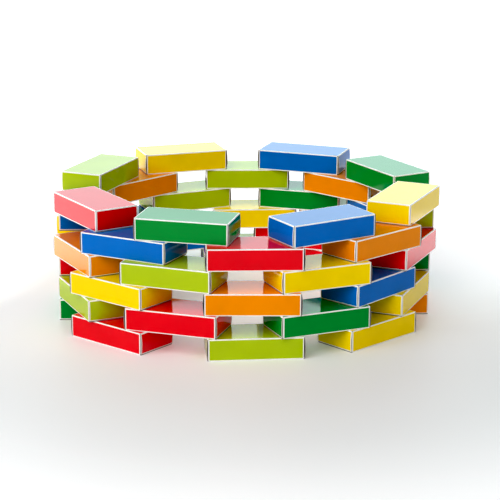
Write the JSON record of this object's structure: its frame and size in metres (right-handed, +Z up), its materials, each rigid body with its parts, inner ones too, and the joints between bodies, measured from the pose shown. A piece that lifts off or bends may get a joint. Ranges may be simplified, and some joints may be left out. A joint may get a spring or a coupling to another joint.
{
  "type": "giant tumbling tower block ring",
  "caption": "Ring wall of loose glossy coloured card cartons for giant tumbling tower, laid like bricks; covered cartons pull outwards and the uncovered top ones lift off.",
  "frame": {"origin": "on the floor, at the middle of the ring", "axes": "+Z up; -Y to the front, where the root carton row_1_front stands; +X to the right seen from the front"},
  "size_m": [1.0703, 1.0418, 0.3515],
  "materials": {
    "red_card": "gloss",
    "orange_card": "gloss",
    "yellow_card": "gloss",
    "lime_card": "gloss",
    "green_card": "gloss",
    "blue_card": "gloss"
  },
  "bodies": {
    "row_1_front": {"row_1_front": "lime_card"},
    "row_1_front_right": {"row_1_front_right": "yellow_card"},
    "row_1_right": {"row_1_right": "orange_card"},
    "row_1_back_right": {"row_1_back_right": "red_card"},
    "row_1_back": {"row_1_back": "lime_card"},
    "row_1_back_left": {"row_1_back_left": "green_card"},
    "row_1_left": {"row_1_left": "green_card"},
    "row_1_front_left": {"row_1_front_left": "red_card"},
    "row_2_front_right": {"row_2_front_right": "green_card"},
    "row_2_right_front": {"row_2_right_front": "yellow_card"},
    "row_2_right_back": {"row_2_right_back": "green_card"},
    "row_2_back_right": {"row_2_back_right": "red_card"},
    "row_2_back_left": {"row_2_back_left": "blue_card"},
    "row_2_left_back": {"row_2_left_back": "orange_card"},
    "row_2_left_front": {"row_2_left_front": "lime_card"},
    "row_2_front_left": {"row_2_front_left": "red_card"},
    "row_3_front": {"row_3_front": "orange_card"},
    "row_3_front_right": {"row_3_front_right": "blue_card"},
    "row_3_right": {"row_3_right": "green_card"},
    "row_3_back_right": {"row_3_back_right": "orange_card"},
    "row_3_back": {"row_3_back": "yellow_card"},
    "row_3_back_left": {"row_3_back_left": "blue_card"},
    "row_3_left": {"row_3_left": "red_card"},
    "row_3_front_left": {"row_3_front_left": "yellow_card"},
    "row_4_front_right": {"row_4_front_right": "yellow_card"},
    "row_4_right_front": {"row_4_right_front": "red_card"},
    "row_4_right_back": {"row_4_right_back": "blue_card"},
    "row_4_back_right": {"row_4_back_right": "green_card"},
    "row_4_back_left": {"row_4_back_left": "lime_card"},
    "row_4_left_back": {"row_4_left_back": "yellow_card"},
    "row_4_left_front": {"row_4_left_front": "orange_card"},
    "row_4_front_left": {"row_4_front_left": "lime_card"},
    "row_5_front": {"row_5_front": "red_card"},
    "row_5_front_right": {"row_5_front_right": "orange_card"},
    "row_5_right": {"row_5_right": "lime_card"},
    "row_5_back_right": {"row_5_back_right": "orange_card"},
    "row_5_back": {"row_5_back": "lime_card"},
    "row_5_back_left": {"row_5_back_left": "orange_card"},
    "row_5_left": {"row_5_left": "blue_card"},
    "row_5_front_left": {"row_5_front_left": "blue_card"},
    "row_6_front_right": {"row_6_front_right": "blue_card"},
    "row_6_right_front": {"row_6_right_front": "yellow_card"},
    "row_6_right_back": {"row_6_right_back": "green_card"},
    "row_6_back_right": {"row_6_back_right": "blue_card"},
    "row_6_back_left": {"row_6_back_left": "yellow_card"},
    "row_6_left_back": {"row_6_left_back": "lime_card"},
    "row_6_left_front": {"row_6_left_front": "red_card"},
    "row_6_front_left": {"row_6_front_left": "green_card"}
  },
  "joints": [
    {"name": "pull_row_1_front_right", "type": "slide", "parent": "row_1_front", "child": "row_1_front_right", "axis": [0.6561, -0.7547, 0], "range_m": [0, 0.18]},
    {"name": "pull_row_1_right", "type": "slide", "parent": "row_1_front", "child": "row_1_right", "axis": [1, 0, 0], "range_m": [0, 0.18]},
    {"name": "pull_row_1_back_right", "type": "slide", "parent": "row_1_front", "child": "row_1_back_right", "axis": [0.682, 0.7314, 0], "range_m": [0, 0.18]},
    {"name": "pull_row_1_back", "type": "slide", "parent": "row_1_front", "child": "row_1_back", "axis": [-0.0175, 0.9998, 0], "range_m": [0, 0.18]},
    {"name": "pull_row_1_back_left", "type": "slide", "parent": "row_1_front", "child": "row_1_back_left", "axis": [-0.682, 0.7314, 0], "range_m": [0, 0.18]},
    {"name": "pull_row_1_left", "type": "slide", "parent": "row_1_front", "child": "row_1_left", "axis": [-1, 0, 0], "range_m": [0, 0.18]},
    {"name": "pull_row_1_front_left", "type": "slide", "parent": "row_1_front", "child": "row_1_front_left", "axis": [-0.6691, -0.7431, 0], "range_m": [0, 0.18]},
    {"name": "pull_row_2_front_right", "type": "slide", "parent": "row_1_front", "child": "row_2_front_right", "axis": [0.3502, -0.9367, 0], "range_m": [0, 0.18]},
    {"name": "pull_row_2_right_front", "type": "slide", "parent": "row_1_front", "child": "row_2_right_front", "axis": [0.91, -0.4147, 0], "range_m": [0, 0.18]},
    {"name": "pull_row_2_right_back", "type": "slide", "parent": "row_1_front", "child": "row_2_right_back", "axis": [0.9171, 0.3987, 0], "range_m": [0, 0.18]},
    {"name": "pull_row_2_back_right", "type": "slide", "parent": "row_1_front", "child": "row_2_back_right", "axis": [0.3502, 0.9367, 0], "range_m": [0, 0.18]},
    {"name": "pull_row_2_back_left", "type": "slide", "parent": "row_1_front", "child": "row_2_back_left", "axis": [-0.3665, 0.9304, 0], "range_m": [0, 0.18]},
    {"name": "pull_row_2_left_back", "type": "slide", "parent": "row_1_front", "child": "row_2_left_back", "axis": [-0.91, 0.4147, 0], "range_m": [0, 0.18]},
    {"name": "pull_row_2_left_front", "type": "slide", "parent": "row_1_front", "child": "row_2_left_front", "axis": [-0.9304, -0.3665, 0], "range_m": [0, 0.18]},
    {"name": "pull_row_2_front_left", "type": "slide", "parent": "row_1_front", "child": "row_2_front_left", "axis": [-0.3502, -0.9367, 0], "range_m": [0, 0.18]},
    {"name": "pull_row_3_front", "type": "slide", "parent": "row_1_front", "child": "row_3_front", "axis": [-0.0349, -0.9994, 0], "range_m": [0, 0.18]},
    {"name": "pull_row_3_front_right", "type": "slide", "parent": "row_1_front", "child": "row_3_front_right", "axis": [0.7193, -0.6947, 0], "range_m": [0, 0.18]},
    {"name": "pull_row_3_right", "type": "slide", "parent": "row_1_front", "child": "row_3_right", "axis": [1, 0, 0], "range_m": [0, 0.18]},
    {"name": "pull_row_3_back_right", "type": "slide", "parent": "row_1_front", "child": "row_3_back_right", "axis": [0.682, 0.7314, 0], "range_m": [0, 0.18]},
    {"name": "pull_row_3_back", "type": "slide", "parent": "row_1_front", "child": "row_3_back", "axis": [-0.0175, 0.9998, 0], "range_m": [0, 0.18]},
    {"name": "pull_row_3_back_left", "type": "slide", "parent": "row_1_front", "child": "row_3_back_left", "axis": [-0.6691, 0.7431, 0], "range_m": [0, 0.18]},
    {"name": "pull_row_3_left", "type": "slide", "parent": "row_1_front", "child": "row_3_left", "axis": [-1, 0, 0], "range_m": [0, 0.18]},
    {"name": "pull_row_3_front_left", "type": "slide", "parent": "row_1_front", "child": "row_3_front_left", "axis": [-0.6561, -0.7547, 0], "range_m": [0, 0.18]},
    {"name": "pull_row_4_front_right", "type": "slide", "parent": "row_1_front", "child": "row_4_front_right", "axis": [0.3502, -0.9367, 0], "range_m": [0, 0.18]},
    {"name": "pull_row_4_right_front", "type": "slide", "parent": "row_1_front", "child": "row_4_right_front", "axis": [0.8949, -0.4462, 0], "range_m": [0, 0.18]},
    {"name": "pull_row_4_right_back", "type": "slide", "parent": "row_1_front", "child": "row_4_right_back", "axis": [0.9026, 0.4305, 0], "range_m": [0, 0.18]},
    {"name": "pull_row_4_back_right", "type": "slide", "parent": "row_1_front", "child": "row_4_back_right", "axis": [0.3173, 0.9483, 0], "range_m": [0, 0.18]},
    {"name": "pull_row_4_back_left", "type": "slide", "parent": "row_1_front", "child": "row_4_back_left", "axis": [-0.3665, 0.9304, 0], "range_m": [0, 0.18]},
    {"name": "pull_row_4_left_back", "type": "slide", "parent": "row_1_front", "child": "row_4_left_back", "axis": [-0.9239, 0.3827, 0], "range_m": [0, 0.18]},
    {"name": "pull_row_4_left_front", "type": "slide", "parent": "row_1_front", "child": "row_4_left_front", "axis": [-0.9026, -0.4305, 0], "range_m": [0, 0.18]},
    {"name": "pull_row_4_front_left", "type": "slide", "parent": "row_1_front", "child": "row_4_front_left", "axis": [-0.3827, -0.9239, 0], "range_m": [0, 0.18]},
    {"name": "pull_row_5_front", "type": "slide", "parent": "row_1_front", "child": "row_5_front", "axis": [0, -1, 0], "range_m": [0, 0.18]},
    {"name": "pull_row_5_front_right", "type": "slide", "parent": "row_1_front", "child": "row_5_front_right", "axis": [0.6428, -0.766, 0], "range_m": [0, 0.18]},
    {"name": "pull_row_5_right", "type": "slide", "parent": "row_1_front", "child": "row_5_right", "axis": [1, 0, 0], "range_m": [0, 0.18]},
    {"name": "pull_row_5_back_right", "type": "slide", "parent": "row_1_front", "child": "row_5_back_right", "axis": [0.6947, 0.7193, 0], "range_m": [0, 0.18]},
    {"name": "pull_row_5_back", "type": "slide", "parent": "row_1_front", "child": "row_5_back", "axis": [0.0175, 0.9998, 0], "range_m": [0, 0.18]},
    {"name": "pull_row_5_back_left", "type": "slide", "parent": "row_1_front", "child": "row_5_back_left", "axis": [-0.6691, 0.7431, 0], "range_m": [0, 0.18]},
    {"name": "pull_row_5_left", "type": "slide", "parent": "row_1_front", "child": "row_5_left", "axis": [-1, 0, 0], "range_m": [0, 0.18]},
    {"name": "pull_row_5_front_left", "type": "slide", "parent": "row_1_front", "child": "row_5_front_left", "axis": [-0.4848, -0.8746, 0], "range_m": [0, 0.18]},
    {"name": "lift_row_6_front_right", "type": "slide", "parent": "row_1_front", "child": "row_6_front_right", "axis": [0, 0, 1], "range_m": [0, 0.1]},
    {"name": "lift_row_6_right_front", "type": "slide", "parent": "row_1_front", "child": "row_6_right_front", "axis": [0, 0, 1], "range_m": [0, 0.1]},
    {"name": "lift_row_6_right_back", "type": "slide", "parent": "row_1_front", "child": "row_6_right_back", "axis": [0, 0, 1], "range_m": [0, 0.1]},
    {"name": "lift_row_6_back_right", "type": "slide", "parent": "row_1_front", "child": "row_6_back_right", "axis": [0, 0, 1], "range_m": [0, 0.1]},
    {"name": "lift_row_6_back_left", "type": "slide", "parent": "row_1_front", "child": "row_6_back_left", "axis": [0, 0, 1], "range_m": [0, 0.1]},
    {"name": "lift_row_6_left_back", "type": "slide", "parent": "row_1_front", "child": "row_6_left_back", "axis": [0, 0, 1], "range_m": [0, 0.1]},
    {"name": "lift_row_6_left_front", "type": "slide", "parent": "row_1_front", "child": "row_6_left_front", "axis": [0, 0, 1], "range_m": [0, 0.1]},
    {"name": "lift_row_6_front_left", "type": "slide", "parent": "row_1_front", "child": "row_6_front_left", "axis": [0, 0, 1], "range_m": [0, 0.1]}
  ]
}
